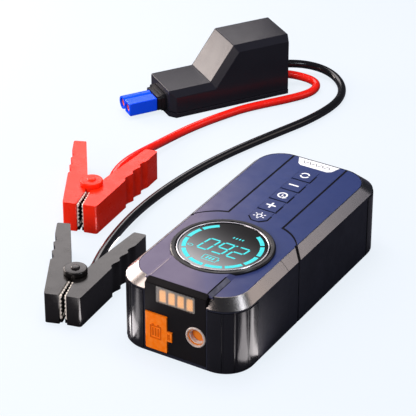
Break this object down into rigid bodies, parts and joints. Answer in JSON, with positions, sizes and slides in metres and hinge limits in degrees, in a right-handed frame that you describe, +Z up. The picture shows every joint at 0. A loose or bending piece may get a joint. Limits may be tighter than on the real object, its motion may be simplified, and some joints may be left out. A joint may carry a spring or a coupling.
{
  "type": "jump starter pack",
  "caption": "Car jump starter pack with air compressor, round display, key row, work lamp and port flap, plus a lead set with its module, plug and clamps.",
  "frame": {"origin": "centre of the pack's flat underside, on the floor the lead set also lies on", "axes": "+Z up out of the pack's top cover, +Y towards the pack's rear, -Y out of the lamp and flap end, +X to the right seen from that front end"},
  "size_m": [0.2495, 0.3892, 0.0523],
  "materials": {
    "navy_cover": "fine-grain satin metallic navy over plastic",
    "dark_shell": "matte moulded black-blue plastic",
    "gloss_trim": "glossy dark gunmetal, fluted",
    "front_fascia": "semi-gloss black",
    "silver_band": "satin gunmetal silver bevel",
    "display_chrome": "polished",
    "display_glass": "tinted gloss",
    "lamp_glass": "prismatic clear lens",
    "lamp_amber": "amber emitter chips on a board",
    "flap_orange": "matte silicone",
    "socket_blue": "moulded nylon",
    "bare_steel": "machined",
    "brass": "turned",
    "hose_rubber": "matte",
    "circuit_board": "solder mask",
    "cell_wrap": "laminate foil pouch",
    "clamp_red": "semi-gloss moulded",
    "clamp_black": "semi-gloss moulded",
    "cable_red": "glossy silicone jacket",
    "cable_black": "glossy silicone jacket",
    "jaw_copper": "copper-plated stamping",
    "module_black": "satin moulded",
    "contact_red": "orange-red tinted bullet contact"
  },
  "bodies": {
    "pack": {"front_housing": "dark_shell", "rear_housing": "dark_shell", "rim_band": "silver_band", "corner_trim_left": "gloss_trim", "corner_trim_right": "gloss_trim", "rear_end_cap": "gloss_trim", "control_panel": "navy_cover", "left_wing": "navy_cover", "right_wing": "navy_cover", "front_panel": "front_fascia", "display_bezel": "gloss_trim", "display_rim": "display_chrome", "display_lens": "display_glass", "display_board": "circuit_board", "lamp_lens": "lamp_glass", "lamp_board": "lamp_amber", "output_socket": "socket_blue", "usb_socket": "bare_steel", "air_fitting": "brass", "air_hose": "hose_rubber", "compressor_body": "bare_steel", "compressor_motor": "bare_steel", "battery_cell_1": "cell_wrap", "battery_cell_2": "cell_wrap", "battery_cell_3": "cell_wrap", "main_board": "circuit_board", "case_screw_1": "bare_steel", "case_screw_2": "bare_steel", "case_screw_3": "bare_steel", "case_screw_4": "bare_steel"},
    "light_button": {"light_button": "navy_cover"},
    "plus_button": {"plus_button": "navy_cover"},
    "power_button": {"power_button": "navy_cover"},
    "minus_button": {"minus_button": "navy_cover"},
    "mode_button": {"mode_button": "navy_cover"},
    "port_flap": {"port_flap": "flap_orange"},
    "drive_pinion": {"drive_pinion": "brass"},
    "crank_gear": {"crank_gear": "bare_steel"},
    "piston": {"piston": "bare_steel"},
    "lead_set": {"module_top_shell": "module_black", "module_base_shell": "module_black", "module_board": "circuit_board", "plug_collar": "module_black", "plug_housing": "socket_blue", "plug_contact_left": "contact_red", "plug_contact_right": "contact_red", "red_cable": "cable_red", "black_cable": "cable_black", "red_fixed_arm": "clamp_red", "red_fixed_jaw": "jaw_copper", "red_pivot_pin": "clamp_red", "red_clamp_spring": "bare_steel", "black_fixed_arm": "clamp_black", "black_fixed_jaw": "jaw_copper", "black_pivot_pin": "clamp_black", "black_clamp_spring": "bare_steel"},
    "red_moving_arm": {"red_moving_arm": "clamp_red", "red_moving_jaw": "jaw_copper"},
    "black_moving_arm": {"black_moving_arm": "clamp_black", "black_moving_jaw": "jaw_copper"}
  },
  "joints": [
    {"name": "light_button_press", "type": "slide", "parent": "pack", "child": "light_button", "axis": [0, 0, -1], "range_m": [0, 0.0008], "stiffness_N_per_m": 150, "springref_m": -0.0006},
    {"name": "plus_button_press", "type": "slide", "parent": "pack", "child": "plus_button", "axis": [0, 0, -1], "range_m": [0, 0.0008], "stiffness_N_per_m": 150, "springref_m": -0.0006},
    {"name": "power_button_press", "type": "slide", "parent": "pack", "child": "power_button", "axis": [0, 0, -1], "range_m": [0, 0.0008], "stiffness_N_per_m": 150, "springref_m": -0.0006},
    {"name": "minus_button_press", "type": "slide", "parent": "pack", "child": "minus_button", "axis": [0, 0, -1], "range_m": [0, 0.0008], "stiffness_N_per_m": 150, "springref_m": -0.0006},
    {"name": "mode_button_press", "type": "slide", "parent": "pack", "child": "mode_button", "axis": [0, 0, -1], "range_m": [0, 0.0008], "stiffness_N_per_m": 150, "springref_m": -0.0006},
    {"name": "flap_hinge", "type": "hinge", "parent": "pack", "child": "port_flap", "pos_m": [-0.01995, -0.0929, 0.0165], "axis": [0, 0, -1], "range_deg": [0, 105]},
    {"name": "crank_spin", "type": "hinge", "parent": "pack", "child": "crank_gear", "pos_m": [-0.004, -0.06, 0.0215], "axis": [0, 1, 0], "continuous": true},
    {"name": "pinion_spin", "type": "hinge", "parent": "pack", "child": "drive_pinion", "pos_m": [-0.0262, -0.06, 0.0215], "axis": [0, 1, 0], "continuous": true},
    {"name": "piston_stroke", "type": "slide", "parent": "pack", "child": "piston", "axis": [1, 0, 0], "range_m": [-0.012, 0]},
    {"name": "lead_set_lift", "type": "slide", "parent": "pack", "child": "lead_set", "axis": [0, 0, 1], "range_m": [0, 0.06]},
    {"name": "red_clamp_hinge", "type": "hinge", "parent": "lead_set", "child": "red_moving_arm", "pos_m": [-0.141, 0.028, 0.01], "axis": [0, 0, -1], "range_deg": [0, 20]},
    {"name": "black_clamp_hinge", "type": "hinge", "parent": "lead_set", "child": "black_moving_arm", "pos_m": [-0.0878, -0.0695, 0.01], "axis": [0, 0, -1], "range_deg": [0, 20]}
  ],
  "couplings": [
    {"joint": "pinion_spin", "follows": "crank_spin", "ratio": -3.4}
  ]
}
